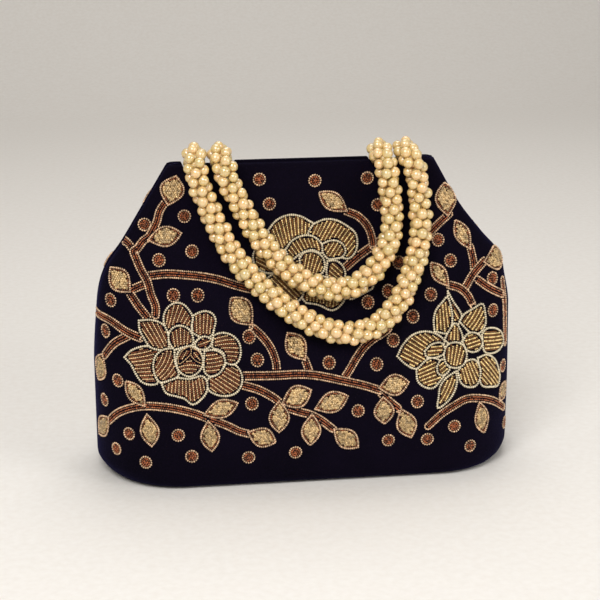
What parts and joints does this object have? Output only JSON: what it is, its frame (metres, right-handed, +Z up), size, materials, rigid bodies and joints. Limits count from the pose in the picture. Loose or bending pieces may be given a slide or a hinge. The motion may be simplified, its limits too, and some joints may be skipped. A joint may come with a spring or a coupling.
{
  "type": "evening bag",
  "caption": "Soft structured evening bag with a flared base, narrow snap mouth, folded gussets, beaded floral fabric and twisted pearl rope handles.",
  "frame": {"origin": "on the floor under the middle of the base", "axes": "+X to the right seen from the front, +Y towards the back wall, +Z up"},
  "size_m": [0.225, 0.0926, 0.1775],
  "materials": {
    "velvet": "cut pile velvet, matte with a blue-violet edge sheen",
    "stiffener": "woven buckram, matte",
    "board": "pressed fibre board, matte",
    "lining": "satin weave, soft sheen",
    "beads": "gold, copper and cream glass beads, sewn",
    "pearls": "pearl lustre coating",
    "end_cap": "polished",
    "snap": "plated, satin",
    "ribbon": "grosgrain ribbon"
  },
  "bodies": {
    "bag_body": {"front_panel": "velvet", "front_stiffener": "stiffener", "front_lining": "lining", "front_hem_strip": "velvet", "front_left_flower": "beads", "front_right_flower": "beads", "front_centre_flower": "beads", "front_main_branch": "beads", "front_lower_branch": "beads", "front_lower_left_vine": "beads", "front_upper_left_vine": "beads", "front_left_edge_vine": "beads", "front_upper_right_vine": "beads", "front_top_sprig": "beads", "front_lower_right_vine": "beads", "front_handle_left_cap": "end_cap", "front_handle_left_tab": "ribbon", "front_handle_right_cap": "end_cap", "front_handle_right_tab": "ribbon", "back_handle_left_cap": "end_cap", "back_handle_right_cap": "end_cap", "left_gusset": "velvet", "left_gusset_lining": "lining", "right_gusset": "velvet", "right_gusset_lining": "lining", "base_cover": "velvet", "base_board": "board", "base_lining": "lining", "snap_socket": "snap", "snap_socket_washer": "snap"},
    "back_wall": {"back_panel": "velvet", "back_stiffener": "stiffener", "back_lining": "lining", "back_hem_strip": "velvet", "back_left_flower": "beads", "back_right_flower": "beads", "back_centre_flower": "beads", "back_main_branch": "beads", "back_lower_branch": "beads", "back_lower_left_vine": "beads", "back_upper_left_vine": "beads", "back_left_edge_vine": "beads", "back_upper_right_vine": "beads", "back_top_sprig": "beads", "back_lower_right_vine": "beads", "back_handle_left_tab": "ribbon", "back_handle_right_tab": "ribbon", "snap_stud": "snap", "snap_stud_washer": "snap"},
    "front_handle": {"front_handle_pearls": "pearls"},
    "back_handle": {"back_handle_pearls": "pearls"}
  },
  "joints": [
    {"name": "back_wall_open", "type": "hinge", "parent": "bag_body", "child": "back_wall", "pos_m": [0, 0.044, 0], "axis": [-1, 0, 0], "range_deg": [0, 12]},
    {"name": "front_handle_swing", "type": "hinge", "parent": "bag_body", "child": "front_handle", "pos_m": [0, -0.0075, 0.1744], "axis": [-1, 0, 0], "range_deg": [0, 160], "deforming": ["front_handle_pearls"]},
    {"name": "back_handle_swing", "type": "hinge", "parent": "bag_body", "child": "back_handle", "pos_m": [0, -0.0075, 0.1744], "axis": [-1, 0, 0], "range_deg": [0, 160], "deforming": ["back_handle_pearls"]}
  ]
}
